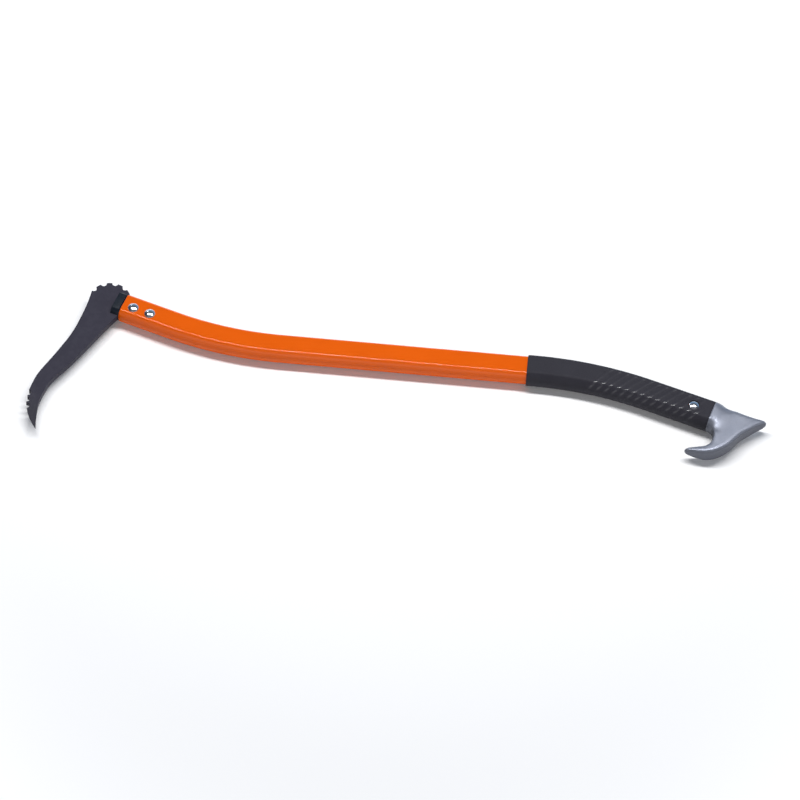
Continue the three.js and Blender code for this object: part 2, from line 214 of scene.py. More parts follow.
def eased(low, high, values):
    """The same smooth step for a whole array."""
    t = np.clip((values - low) / (high - low), 0, 1)
    return t * t * (3 - 2 * t)


def axis_pose(distance):
    """Place and heading on the handle's axis, in the handle's own frame."""
    if distance <= HOOK_BEND_END:
        radius, angle = HOOK_BEND
        turned = min((HOOK_BEND_END - distance) / radius, angle)
        straight = max(HOOK_STRAIGHT - distance, 0)
        x = -MIDDLE / 2 - radius * math.sin(turned) - straight * math.cos(turned)
        y = radius * (1 - math.cos(turned)) + straight * math.sin(turned)
        return x, y, -turned
    if distance <= GRIP_BEND_START:
        return distance - HOOK_BEND_END - MIDDLE / 2, 0.0, 0.0
    radius, angle = GRIP_BEND
    turned = min((distance - GRIP_BEND_START) / radius, angle)
    straight = max(distance - GRIP_BEND_END, 0)
    x = MIDDLE / 2 + radius * math.sin(turned) + straight * math.cos(turned)
    y = -radius * (1 - math.cos(turned)) - straight * math.sin(turned)
    return x, y, -turned


def on_axis(distance, across, up):
    """A point beside the handle's axis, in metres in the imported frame."""
    x, y, heading = axis_pose(distance)
    place = Vector((x - across * math.sin(heading), y + across * math.cos(heading), up))
    return (place + TOOL_AT) * MM


def station(distance):
    """The frame whose x runs along the handle's axis at that distance, for meshes in millimetres."""
    x, y, heading = axis_pose(distance)
    place = Matrix.Translation(Vector((x, y, 0)) + TOOL_AT)
    return Matrix.Scale(MM, 4) @ place @ Matrix.Rotation(heading, 4, "Z")


def arc(x, y, radius, start, end, count):
    angles = np.linspace(start, end, count + 1)
    return [(x + radius * math.cos(a), y + radius * math.sin(a)) for a in angles]


def oval(offset, side_steps=14, edge_steps=7):
    """The tube's section grown by an offset, as points of width and thickness."""
    edge = max(TUBE_EDGE + offset, LEAST_EDGE)
    half_flat = TUBE_FLAT / 2
    half_width = TUBE_WIDTH / 2 + offset
    height = TUBE_THICKNESS / 2 + offset
    up = height - edge
    reach = half_width - edge
    side_x = (reach**2 - half_flat**2 - up**2) / (2 * (reach - half_flat))
    join = math.atan2(up, half_flat - side_x)
    quarter = arc(side_x, 0, half_width - side_x, 0, join, side_steps)
    quarter += arc(half_flat, up, edge, join, math.pi / 2, edge_steps)[1:]
    quarter.append((half_flat - FLAT_MARGIN, height))
    quarter += [(half_flat * (1 - i / FLAT_STEPS), height) for i in range(1, FLAT_STEPS)]
    quarter.append((0.0, height))
    top = quarter + [(-w, t) for w, t in reversed(quarter[:-1])]
    return top + [(w, -t) for w, t in reversed(top[1:-1])]


def placed(name, mesh):
    obj = bpy.data.objects.new(name, mesh)
    bpy.context.scene.collection.objects.link(obj)
    return obj


def shade(mesh, sharp_degrees):
    mesh.shade_smooth()
    mesh.set_sharp_from_angle(angle=math.radians(sharp_degrees))


def mesh_object(name, verts, faces, sharp_degrees=30):
    mesh = bpy.data.meshes.new(name)
    mesh.from_pydata(verts, [], faces)
    mesh.update()
    bm = bmesh.new()
    bm.from_mesh(mesh)
    bmesh.ops.recalc_face_normals(bm, faces=bm.faces)
    bm.to_mesh(mesh)
    bm.free()
    shade(mesh, sharp_degrees)
    return placed(name, mesh)


def loop_grid(rings, closed=True):
    """Quads between rings of the same count; closed joins the last ring to the first."""
    count = len(rings[0])
    verts = [p for ring in rings for p in ring]
    faces = []
    steps = len(rings) if closed else len(rings) - 1
    for i in range(steps):
        a, b = i * count, ((i + 1) % len(rings)) * count
        for j in range(count):
            k = (j + 1) % count
            faces.append((a + j, a + k, b + k, b + j))
    return verts, faces


def places_along(start, end, fine, coarse):
    """Distances along the axis: coarse steps on the straights, fine ones in the bends."""
    stops = [start]
    for low, high, step in (
        (0, HOOK_STRAIGHT, coarse),
        (HOOK_STRAIGHT, HOOK_BEND_END, fine),
        (HOOK_BEND_END, GRIP_BEND_START, coarse),
        (GRIP_BEND_START, GRIP_BEND_END, fine),
        (GRIP_BEND_END, AXIS_END, coarse),
    ):
        low, high = max(low, start), min(high, end)
        if high > low:
            count = max(1, round((high - low) / step))
            stops += [low + (high - low) * i / count for i in range(1, count + 1)]
    return stops


# Tube
def build_tube():
    """The bent tube, open at both ends, with softened rims."""
    rim = TUBE_RIM[-1][0]
    outer = list(TUBE_RIM)
    outer += [(s, 0.0) for s in places_along(rim, AXIS_END - rim, *OUTSIDE_STEPS)[1:]]
    outer += [(AXIS_END - s, offset) for s, offset in reversed(TUBE_RIM[:-1])]
    inner = [(s, -TUBE_WALL) for s in reversed(places_along(0.0, AXIS_END, *BORE_STEPS))]
    inner[-1] = (0.0, -TUBE_WALL + BORE_RIM_DEPTH)
    inner.insert(-1, (BORE_RIM_LENGTH, -TUBE_WALL))
    rings = [[on_axis(s, w, t) for w, t in oval(offset)] for s, offset in outer + inner]
    return mesh_object("painted_tube", *loop_grid(rings))


# Grip sleeve
def girth_places(section):
    """Distances round the section from the middle of its upper flat, positive to the back.

    The lower half has the same distances as the upper half, so what follows them is mirrored below.
    """
    upper = sorted({(round(w, 6), round(abs(t), 6)) for w, t in section})
    places = {}
    for sign in (-1, 1):
        side = sorted((p for p in upper if sign * p[0] >= 0), key=lambda p: (abs(p[0]), -p[1]))
        total, last = 0.0, side[0]
        for p in side:
            total += math.dist(p, last)
            places[p] = sign * total
            last = p
    return [places[(round(w, 6), round(abs(t), 6))] for w, t in section]


def rib_shape(along, girth, height, pad):
    """How far the surface lies below the crest of the ribs, and its share of wear and painted highlight
    there.
    """
    phase = (along - RIB_SLANT * girth - RIB_FIRST) / RIB_PITCH
    if phase < -0.5 or phase > RIB_COUNT - 0.5:
        return 0.0, PLAIN_POLISH_AND_GLINT
    from_crest = abs((phase + 0.5) % 1.0 - 0.5) * 2
    drop = smoothstep(*RIB_FLANK, from_crest)
    ends = min(smoothstep(-0.5, -0.2, phase), 1 - smoothstep(RIB_COUNT - 0.8, RIB_COUNT - 0.5, phase))
    ends *= 1 - smoothstep(*RIBS_TO_CLAW, along)
    ends *= 1 - smoothstep(*RIBS_TO_BACK, girth)
    # Both are strongest where the flats turn into the sides
    depth = RIB_DEPTH * smoothstep(5, 10.5, abs(height)) * rise(0.5, 4, 9, abs(girth))
    # The crest's share lightens the colour: it is wear, and also a painted highlight where the glints fall
    crest = (1 - smoothstep(*RIB_CREST, from_crest)) * rise(0.3, 4, 10, abs(height))
    crest *= rise(0.45, 6.5, 9.5, abs(girth))
    polish_and_glint = PLAIN_POLISH_AND_GLINT + (crest - PLAIN_POLISH_AND_GLINT) * ends
    return depth * drop * ends * pad, polish_and_glint


def aslant(s, w):
    """The sleeve's front end isn't quite square to the handle."""
    return s + (GRIP_SLANT * w - GRIP_SET_FORWARD) * (1 - smoothstep(0, SLANT_LENGTH, s - GRIP_START))


def sleeve_section(offset):
    return oval(offset, 16, 9)


def build_grip():
    """The sleeve: a plain front and slanted ribs, mirrored above and below."""
    girths = girth_places(sleeve_section(GRIP_OFFSET))
    plain_end, ribs_end = GRIP_START + SLANT_LENGTH, AXIS_END - SMOOTH_END
    stops = [(GRIP_START + s, offset) for s, offset in SLEEVE_RIM]
    stops += [(s, 0.0) for s in np.linspace(GRIP_START + 3, plain_end, PLAIN_RINGS)]
    stops += [(s, 0.0) for s in np.linspace(plain_end, ribs_end, RIBBED_RINGS)[1:]]
    stops += [(AXIS_END - SMOOTH_END / 2, 0.0), (AXIS_END + PAST_TUBE, 0.0)]
    rivet_along = GRIP_RIVET[0] - GRIP_START
    rings, polish_and_glint = [], []
    for s, offset in stops:
        along = s - GRIP_START
        ring = []
        for (w, t), girth in zip(sleeve_section(GRIP_OFFSET + offset), girths):
            from_rivet = math.hypot(along - rivet_along, w - GRIP_RIVET[1])
            pad = smoothstep(*RIVET_PAD, from_rivet) if abs(t) > PAD_HEIGHT else 1.0
            drop, wear_and_glint = rib_shape(along, girth, t, pad)
            polish_and_glint.append(wear_and_glint)
            size = math.hypot(w, t)
            ring.append(on_axis(aslant(s, w), w * (1 - drop / size), t * (1 - drop / size)))
        rings.append(ring)
    # A thin lip turns in over the tube's end, so that no orange shows in the seam at the claw
    lip = AXIS_END + LIP_FACE
    turned_in = [(AXIS_END + PAST_TUBE, -LIP_DEPTH), (lip, -LIP_DEPTH), (lip, GAP)]
    bore = places_along(GRIP_START, AXIS_END, *SLEEVE_BORE_STEPS)[:-1]
    turned_in += [(s, GAP) for s in reversed(bore)]
    inner = [[on_axis(aslant(s, w), w, t) for w, t in sleeve_section(offset)] for s, offset in turned_in]
    grip = mesh_object("ribbed_grip", *loop_grid(rings + inner), sharp_degrees=50)
    polish_and_glint += [0.0] * (len(grip.data.vertices) - len(polish_and_glint))
    grip.data.attributes.new("polish_and_glint", "FLOAT", "POINT").data.foreach_set("value", polish_and_glint)
    cut_round_hole(grip, on_axis(*GRIP_RIVET, 0), RIVET_HEAD + RIVET_HOLE_GAP)
    shade(grip.data, 40)
    return grip


def cut_round_hole(obj, centre, radius):
    """Cuts a round hole along Z through an object, at a point in metres."""
    cutter_mesh = bpy.data.meshes.new("cutter")
    bm = bmesh.new()
    radius, depth = radius * MM, HOLE_DEPTH * MM
    bmesh.ops.create_cone(
        bm, cap_ends=True, segments=HOLE_SEGMENTS, radius1=radius, radius2=radius, depth=depth,
    )
    bm.to_mesh(cutter_mesh)
    bm.free()
    cutter = placed("cutter", cutter_mesh)
    cutter.location = centre
    modifier = obj.modifiers.new("hole", "BOOLEAN")
    modifier.operation = "DIFFERENCE"
    modifier.solver = "EXACT"
    modifier.object = cutter
    bake_modifiers(obj)
    bpy.data.objects.remove(cutter, do_unlink=True)


def bake_modifiers(obj):
    """Writes the result of an object's modifiers into its mesh."""
    graph = bpy.context.evaluated_depsgraph_get()
    graph.update()
    made = bpy.data.meshes.new_from_object(obj.evaluated_get(graph))
    old = obj.data
    obj.modifiers.clear()
    obj.data = made
    bpy.data.meshes.remove(old)


# Hook plate
def spline(points, count):
    """A smooth curve through the points, with count steps in all."""
    pts = [Vector(p) for p in points]
    last = len(pts) - 1
    out = []
    for i in range(count + 1):
        place = last * i / count
        k = min(int(place), last - 1)
        t = place - k
        p0, p1, p2, p3 = pts[max(k - 1, 0)], pts[k], pts[k + 1], pts[min(k + 2, last)]
        v0, v1 = (p2 - p0) * 0.5, (p3 - p1) * 0.5
        cubic, square = 2 * p1 - 2 * p2 + v0 + v1, -3 * p1 + 3 * p2 - 2 * v0 - v1
        out.append(cubic * t**3 + square * t**2 + v0 * t + p1)
    return out


def blade_point(shares):
    return Vector((-SWEEP * shares[0], -REACH * shares[1]))


def point_at_share(line, share):
    """The point at a share of a line's length."""
    lengths = [0.0]
    for a, b in zip(line, line[1:]):
        lengths.append(lengths[-1] + (b - a).length)
    want = share * lengths[-1]
    for i in range(1, len(line)):
        if lengths[i] >= want:
            t = (want - lengths[i - 1]) / (lengths[i] - lengths[i - 1])
            return line[i - 1].lerp(line[i], t)
    return line[-1]


def notched(outline, centre, radius, steps=18):
    """Replaces the stretch of a counter-clockwise outline inside a circle by the circle's inner arc."""
    inside = [(p - centre).length < radius for p in outline]
    count = len(outline)
    start = next(i for i in range(count) if inside[i] and not inside[i - 1])
    end = start
    while inside[(end + 1) % count]:
        end += 1
    before, after = outline[start - 1], outline[(end + 1) % count]
    first = crossing(before, outline[start], centre, radius)
    last = crossing(after, outline[end % count], centre, radius)
    a0 = math.atan2(first.y - centre.y, first.x - centre.x)
    a1 = math.atan2(last.y - centre.y, last.x - centre.x)
    while a1 > a0:
        a1 -= 2 * math.pi
    bite = [Vector(p) for p in arc(centre.x, centre.y, radius, a0, a1, steps)]
    kept = [outline[(end + 1 + i) % count] for i in range(count - (end - start + 1))]
    return kept + bite


def crossing(outer, inner, centre, radius):
    """Where the line from a point outside a circle to one inside it meets the circle."""
    low, high = 0.0, 1.0
    for _ in range(30):
        mid = (low + high) / 2
        if (outer.lerp(inner, mid) - centre).length > radius:
            low = mid
        else:
            high = mid
    return outer.lerp(inner, low)


def hook_outline():
    """The plate's outline: tang, crown, outer edge, tip and inner edge, then the notches."""
    crown = [Vector(p) for p in arc(*CROWN_CENTRE, CROWN_RADIUS, CROWN_FROM, CROWN_TO, CROWN_STEPS)]
    outer = spline([crown[-1], *map(blade_point, OUTER)], OUTER_STEPS)
    tip = spline([blade_point(OUTER[-1]), *map(blade_point, TIP)], TIP_STEPS)
    shoulder = Vector((-GAP, -TUBE_WIDTH / 2 + TUBE_EDGE))
    inner = spline([blade_point(TIP[-1]), *map(blade_point, INNER), shoulder], INNER_STEPS)
    half = TANG_WIDTH / 2
    tang = [Vector(p) for p in ((-GAP, -half), (TANG_LENGTH, -half), (TANG_LENGTH, half), (-GAP, half))]
    outline = tang + crown + outer[1:] + tip[1:] + inner[1:]
    for degrees in CROWN_NOTCH_ANGLES:
        angle = math.radians(degrees)
        centre = CROWN_CENTRE + CROWN_RADIUS * Vector((math.cos(angle), math.sin(angle)))
        outline = notched(outline, centre, CROWN_NOTCH)
    for share in TIP_NOTCH_SHARES:
        edge_point = point_at_share(tip, share)
        onward = (point_at_share(tip, share + TIP_NOTCH_AHEAD) - edge_point).normalized()
        centre = edge_point + TIP_NOTCH_SET_IN * Vector((-onward.y, onward.x))
        outline = notched(outline, centre, TIP_NOTCH)
    return outline


def rounded(outline, reach, steps=5):
    """Rounds the sharp corners of a closed outline over a short reach on either side."""
    count = len(outline)
    corners = []
    for i, p in enumerate(outline):
        into, out = p - outline[i - 1], outline[(i + 1) % count] - p
        if into.angle(out) > CORNER_ANGLE:
            corners.append(i)
    taken = set()
    bends = {}
    for i in corners:
        ends = []
        for step in (-1, 1):
            k, walked = i, 0.0
            while True:
                nxt = (k + step) % count
                length = (outline[nxt] - outline[k]).length
                if walked + length > reach:
                    ends.append(outline[k].lerp(outline[nxt], (reach - walked) / length))
                    break
                walked += length
                k = nxt
                taken.add(k)
        shares = [j / steps for j in range(steps + 1)]
        first, last = ends
        bends[i] = [first * (1 - t) ** 2 + outline[i] * 2 * t * (1 - t) + last * t * t for t in shares]
    out = []
    for i, p in enumerate(outline):
        if i in bends:
            out += bends[i]
        elif i not in taken:
            out.append(p)
    return out


def half_thickness(y):
    """Half the plate's thickness at a place on the blade, thinning over the ground tip."""
    ground = min(max((-y - (REACH - GRIND_LENGTH)) / (GRIND_LENGTH + GRIND_PAST_TIP), 0.0), 1.0)
    if ground <= GRIND_EASE:
        ground = ground * ground / (2 * GRIND_EASE) + ground / 2
    return PLATE / 2 - (PLATE - TIP_THICKNESS) / 2 * ground


def inward(outline, i, distance):
    """A point inside the outline, off its corner i."""
    count = len(outline)
    a, p, b = outline[i - 1], outline[i], outline[(i + 1) % count]
    d0, d1 = (p - a).normalized(), (b - p).normalized()
    n0, n1 = Vector((-d0.y, d0.x)), Vector((-d1.y, d1.x))
    mean = n0 + n1
    if mean.length < 1e-6:
        return p + n0 * distance
    mean.normalize()
    return p + mean * distance / max(mean.dot(n0), CORNER_LIMIT)


def grind_points(outline):
    """A grid of points well inside the ground part of the blade."""
    ring = np.array([tuple(p) for p in outline])
    after = np.roll(ring, -1, axis=0)
    points = []
    for y in np.arange(-REACH, -(REACH - GRIND_LENGTH) + GRIND_STEP, GRIND_STEP):
        for x in np.arange(-SWEEP, 0, GRIND_STEP):
            spans = (ring[:, 1] > y) != (after[:, 1] > y)
            share = (y - ring[spans, 1]) / (after[spans, 1] - ring[spans, 1])
            crossed = ring[spans, 0] + share * (after[spans, 0] - ring[spans, 0]) > x
            clear = np.hypot(ring[:, 0] - x, ring[:, 1] - y).min() > GRIND_STEP / 2
            if crossed.sum() % 2 and clear:
                points.append(Vector((x, y)))
    return points


def close_plate(bm, ring, side, inner):
    """Fills one broad face of the plate, with points of its own where the blade is ground thin."""
    flat = [v.co.xy for v in ring] + inner
    edges = [(i, (i + 1) % len(ring)) for i in range(len(ring))]
    places, _, faces, origins, _, _ = delaunay_2d_cdt(flat, edges, [], 1, 1e-5)
    corners = []
    for place, origin in zip(places, origins):
        if origin and origin[0] < len(ring):
            corners.append(ring[origin[0]])
        else:
            corners.append(bm.verts.new((place.x, place.y, side * half_thickness(place.y))))
    for face in faces:
        bm.faces.new([corners[i] for i in (face if side > 0 else reversed(face))])


def without_repeats(outline):
    return [p for i, p in enumerate(outline) if (p - outline[i - 1]).length > SHORTEST_EDGE]


def build_hook():
    """The plate, with softened edges all round its outline."""
    outline = without_repeats(rounded(without_repeats(hook_outline()), CORNER_REACH))
    count = len(outline)
    bm = bmesh.new()
    rings = []
    for side, inset, lift in EDGE_RINGS:
        ring = []
        for i in range(count):
            half = half_thickness(outline[i].y)
            from_point = (outline[i] - blade_point(TIP[-1])).length
            edge = min(EDGE_BREAK, EDGE_BREAK_SHARE * half) * rise(0.15, 0, POINT_REACH, from_point)
            p = inward(outline, i, edge * inset)
            ring.append(bm.verts.new((p.x, p.y, side * (half - edge * lift))))
        rings.append(ring)
    for low, high in zip(rings, rings[1:]):
        for i in range(count):
            k = (i + 1) % count
            bm.faces.new((low[i], low[k], high[k], high[i]))
    inner = grind_points(outline)
    close_plate(bm, rings[0], -1, inner)
    close_plate(bm, rings[-1], 1, inner)
    bmesh.ops.recalc_face_normals(bm, faces=bm.faces)
    mesh = bpy.data.meshes.new("hook_plate")
    bm.to_mesh(mesh)
    bm.free()
    mesh.transform(station(0))
    shade(mesh, 20)
    return placed("hook_plate", mesh)


# Rivets
def build_rivet(name, distance, across):
    """A rivet with a domed head on both sides, turned about Z."""
    seat = TUBE_THICKNESS / 2 + GAP
    dome = (RIVET_HEAD**2 + RIVET_DOME**2) / (2 * RIVET_DOME)
    centre = seat + RIVET_RIM + RIVET_DOME - dome
    reach = math.asin(RIVET_HEAD / dome)
    profile = [(RIVET_SHANK, 0.0), (RIVET_SHANK, seat)]
    profile += [(RIVET_HEAD - inset, seat + height) for inset, height in RIVET_LIP]
    angles = np.linspace(reach * RIVET_DOME_START, 0, RIVET_RINGS)[:-1]
    profile += [(dome * math.sin(a), centre + dome * math.cos(a)) for a in angles]
    place = on_axis(distance, across, 0)
    turns = [2 * math.pi * i / RIVET_SEGMENTS for i in range(RIVET_SEGMENTS)]
    rows = [(r, -z) for r, z in reversed(profile)] + profile[1:]
    rings = [[place + Vector((r * math.cos(a), r * math.sin(a), z)) * MM for a in turns] for r, z in rows]
    verts, faces = loop_grid(rings, closed=False)
    last, top = len(verts) - RIVET_SEGMENTS, len(verts)
    apex = Vector((0, 0, centre + dome)) * MM
    verts += [place + apex, place - apex]
    for j in range(RIVET_SEGMENTS):
        k = (j + 1) % RIVET_SEGMENTS
        faces.append((last + j, last + k, top))
        faces.append((k, j, top + 1))
    return mesh_object(name, verts, faces, sharp_degrees=50)


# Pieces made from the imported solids
def copy_of(node, name):
    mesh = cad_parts[node].data.copy()
    mesh.name = name
    mesh.materials.clear()
    return placed(name, mesh)


def weld(obj):
    """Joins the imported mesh's triangles into its plain faces."""
    bm = bmesh.new()
    bm.from_mesh(obj.data)
    bmesh.ops.remove_doubles(bm, verts=bm.verts, dist=1e-6)
    bmesh.ops.dissolve_limit(bm, angle_limit=math.radians(0.5), verts=bm.verts, edges=bm.edges)
    bm.to_mesh(obj.data)
    bm.free()


def build_collar(node, name):
    """One half of the packing round the tang, with softened edges."""
    obj = copy_of(node, name)
    weld(obj)
    cut_back_at_tube(obj)
    bevel = obj.modifiers.new("edges", "BEVEL")
    bevel.width = COLLAR_EDGE * MM
    bevel.segments = 3
    bevel.limit_method = "ANGLE"
    bevel.angle_limit = math.radians(35)
    bevel.harden_normals = False
    bake_modifiers(obj)
    shade(obj.data, 32)
    return obj


def cut_back_at_tube(obj):
    """Slopes the collar inwards over its last stretch, which leaves a dark groove at the tube's end."""
    bm = bmesh.new()
    bm.from_mesh(obj.data)
    bmesh.ops.transform(bm, matrix=station(0).inverted(), verts=bm.verts)
    geom = list(bm.verts) + list(bm.edges) + list(bm.faces)
    bmesh.ops.bisect_plane(bm, geom=geom, dist=1e-4, plane_co=(GROOVE_CUT, 0, 0), plane_no=(1, 0, 0))
    tang_face = PLATE / 2 + GAP
    for v in bm.verts:
        high = abs(v.co.z) > TUBE_THICKNESS / 2 - TUBE_WALL
        wide = abs(v.co.y) > TUBE_WIDTH / 2 - TUBE_WALL
        if GROOVE_FROM < v.co.x < 0 and (high or wide):
            v.co.y *= GROOVE_WIDTH_SHARE
            v.co.z = math.copysign(tang_face + (abs(v.co.z) - tang_face) * GROOVE_HEIGHT_SHARE, v.co.z)
    bmesh.ops.transform(bm, matrix=station(0), verts=bm.verts)
    bm.to_mesh(obj.data)
    bm.free()


def build_claw():
    """The casting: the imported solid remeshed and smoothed, with its face at the sleeve kept crisp."""
    obj = copy_of("end_claw", "cast_claw")
    weld(obj)
    remesh = obj.modifiers.new("cast", "REMESH")
    remesh.mode = "VOXEL"
    remesh.voxel_size = 0.0006
    bake_modifiers(obj)
    soften(obj.data, rounds=36)
    obj.data.shade_smooth()
    return obj


def vertex_places(mesh):
    co = np.empty(len(mesh.vertices) * 3)
    mesh.vertices.foreach_get("co", co)
    return co.reshape(-1, 3)


def set_vertex_places(mesh, co):
    mesh.vertices.foreach_set("co", co.ravel())
    mesh.update()


def transformed(co, matrix):
    rows = np.array(matrix)
    return co @ rows[:3, :3].T + rows[:3, 3]


def even_taper(x, y):
    """Shares that turn the straight tapers of the beak and the finger into even curves."""
    beak_taper = BEAK_TIP - BEAK_TAPER_FROM
    finger_taper = FINGER_TAPER_FROM - FINGER_TIP
    thin = CLAW_HALF - FINGER_LOSS
    beak_half = np.where(
        x > BEAK_TAPER_FROM, CLAW_HALF - BEAK_LOSS * (x - BEAK_TAPER_FROM) / beak_taper, CLAW_HALF,
    )
    beak_way = np.clip((x - BEAK_CURVE_FROM) / (BEAK_TIP - BEAK_CURVE_FROM), 0, 1)
    beak_curve = CLAW_HALF - BEAK_LOSS * beak_way**2
    finger_half = np.where(
        x < FINGER_TAPER_FROM, thin + FINGER_LOSS * (x - FINGER_TIP) / finger_taper, CLAW_HALF,
    )
    finger_way = np.clip((FINGER_CURVE_FROM - x) / (FINGER_CURVE_FROM - FINGER_TIP), 0, 1)
    finger_curve = CLAW_HALF - FINGER_LOSS * finger_way**2
    in_finger = 1 - eased(*FINGER_BAND, y)
    return beak_curve / beak_half * (1 + (finger_curve / finger_half - 1) * in_finger)


def smooth(mesh, co, passes):
    """Moves each vertex towards the middle of its neighbours, once for each set of weights."""
    edges = np.empty(len(mesh.edges) * 2, dtype=np.int64)
    mesh.edges.foreach_get("vertices", edges)
    edges = edges.reshape(-1, 2)
    degree = np.bincount(edges.ravel(), minlength=len(co)).reshape(-1, 1)
    for weight in passes:
        total = np.zeros_like(co)
        np.add.at(total, edges[:, 0], co[edges[:, 1]])
        np.add.at(total, edges[:, 1], co[edges[:, 0]])
        co += (total / degree - co) * SMOOTHING * weight


def soften(mesh, rounds):
    """Evens out a dense mesh in the claw's own frame, except at the end that meets the sleeve."""
    claw_frame = station(AXIS_END)
    co = transformed(vertex_places(mesh), claw_frame.inverted())
    x, y, z = co.T
    lowest = y.min()
    z *= even_taper(x, y)
    # The tips start longer, because the smoothing shortens them
    x += BEAK_STRETCH * eased(*BEAK_STRETCHED, x)
    x -= FINGER_STRETCH * (1 - eased(*FINGER_STRETCHED, x)) * (1 - eased(*FINGER_BAND, y))
    free = eased(*HELD_AT_SLEEVE, x)
    free[y < -TUBE_WIDTH / 2 - 4] = 1
    neck = eased(*NECK_FROM, x) * (1 - eased(*NECK_TO, x)) * eased(*NECK_ABOVE, y)
    # The neck is smoothed on, in the end through its thickness alone, which keeps its outline
    free, neck = free[:, None] * np.ones(3), neck[:, None] * np.ones(3)
    smooth(mesh, co, [free] * rounds + [neck] * (rounds * 2) + [neck * (0, 0, 1)] * (rounds * 5))
    # The finger gets back the length that the smoothing took
    lost = x[y < FINGER_BELOW].min() - FINGER_TIP
    in_finger = 1 - eased(*FINGER_BAND_AFTER, y)
    x -= lost * (1 - eased(FINGER_TIP + 1, FINGER_TIP + 18, x)) * in_finger
    y += (lowest - y.min()) * (1 - eased(lowest + 1, lowest + 14, y))
    # The tips end in a rounded nose
    beak_end = eased(x.max() - NOSE_LENGTH, x.max(), x)
    finger_end = (1 - eased(FINGER_TIP, FINGER_TIP + NOSE_LENGTH, x)) * (1 - eased(*FINGER_BAND_AFTER, y))
    z *= 1 - NOSE_THINNING * np.maximum(beak_end, finger_end) ** 2
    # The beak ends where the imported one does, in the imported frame
    co = transformed(co, claw_frame)
    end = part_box("end_claw")[1][0]
    co[:, 0] += (end - co[:, 0].max()) * eased(end - BEAK_FIT_LENGTH * MM, end, co[:, 0])
    set_vertex_places(mesh, co)


# Materials
def smooth_range(tree, value, low, high, start=0.0, end=1.0):
    """A number that goes smoothly from start to end while another goes from low to high."""
    node = tree.nodes.new("ShaderNodeMapRange")
    node.interpolation_type = "SMOOTHSTEP"
    tree.links.new(value, node.inputs["Value"])
    for name, number in (("From Min", low), ("From Max", high), ("To Min", start), ("To Max", end)):
        node.inputs[name].default_value = number
    return node.outputs["Result"]


def mixed(tree, factor, first, second):
    """A colour between two others, each of them a plain colour or a socket."""
    node = tree.nodes.new("ShaderNodeMix")
    node.data_type = "RGBA"
    tree.links.new(factor, node.inputs[0])
    for socket, part in ((node.inputs[6], first), (node.inputs[7], second)):
        if isinstance(part, bpy.types.NodeSocket):
            tree.links.new(part, socket)
        else:
            socket.default_value = (*part, 1)
    return node.outputs[2]


class Nodes:
    """A small helper that adds nodes to one material."""

    def __init__(self, name):
        self.material = bpy.data.materials.new(name)
        self.material.use_nodes = True
        self.tree = self.material.node_tree
        self.shader = self.tree.nodes["Principled BSDF"]
        self.place = self.tree.nodes.new("ShaderNodeTexCoord").outputs["Object"]

    def add(self, kind, **inputs):
        node = self.tree.nodes.new(kind)
        for key, value in inputs.items():
            socket = node.inputs[key]
            if isinstance(value, bpy.types.NodeSocket):
                self.tree.links.new(value, socket)
            else:
                socket.default_value = value
        return node

    def link(self, output, name):
        self.tree.links.new(output, self.shader.inputs[name])

    def set(self, **numbers):
        """Numbers that are the same all over, on the shader's own sockets."""
        for name, number in numbers.items():
            self.shader.inputs[name.replace("_", " ")].default_value = number

    def noise(self, scale, detail=3.0, roughness=0.5, stretch=None, turn=0.0):
        place = self.place
        if stretch:
            mapping = self.add("ShaderNodeMapping", Vector=place, Rotation=(0, 0, turn), Scale=stretch)
            place = mapping.outputs["Vector"]
        node = self.add("ShaderNodeTexNoise", Vector=place, Scale=scale, Detail=detail, Roughness=roughness)
        return node.outputs["Fac"]

    def ramp(self, value, low, high, start=0.0, end=1.0):
        return smooth_range(self.tree, value, low, high, start, end)

    def grain(self, scale, detail, start=0.0, end=1.0):
        """Noise spread over the whole range from start to end."""
        return self.ramp(self.noise(scale, detail), 0.3, 0.7, start, end)

    def blend(self, factor, first, second):
        return mixed(self.tree, factor, first, second)

    def flatness(self):
        """1 where the surface lies flat, facing up or down, and 0 where it stands vertical."""
        normal = self.tree.nodes.new("ShaderNodeNewGeometry").outputs["Normal"]
        height = self.add("ShaderNodeSeparateXYZ", Vector=normal).outputs["Z"]
        size = self.add("ShaderNodeMath", Value=height)
        size.operation = "ABSOLUTE"
        return size.outputs[0]

    def bump(self, height, distance, strength=1.0, normal=None):
        node = self.add("ShaderNodeBump", Height=height, Distance=distance, Strength=strength)
        if normal:
            self.tree.links.new(normal, node.inputs["Normal"])
        return node.outputs["Normal"]


def orange_paint():
    """Glossy paint with a faint unevenness in tone, and with fine specks."""
    n = Nodes("orange_paint")
    deep, bright, speck = (0.735, 0.106, 0.0025), (0.77, 0.113, 0.003), (0.68, 0.085, 0.002)
    base = n.blend(n.grain(22, 2), deep, bright)
    specks = n.ramp(n.noise(900, 2), 0.42, 0.75, 0.0, 0.1)
    n.link(n.blend(specks, base, speck), "Base Color")
    n.link(n.grain(60, 4, 0.3, 0.42), "Roughness")
    # The sides have lost some of their gloss to hands and gloves
    n.link(n.ramp(n.flatness(), 0.42, 0.72, 0.4, 1.0), "Coat Weight")
    n.set(Specular_IOR_Level=0.0, Coat_Roughness=0.03, Coat_IOR=1.5)
    n.link(n.bump(n.noise(420, 2), 0.00001, 0.5), "Normal")
    n.link(n.bump(n.noise(240, 2), 0.00001, 0.6), "Coat Normal")
    return n.material


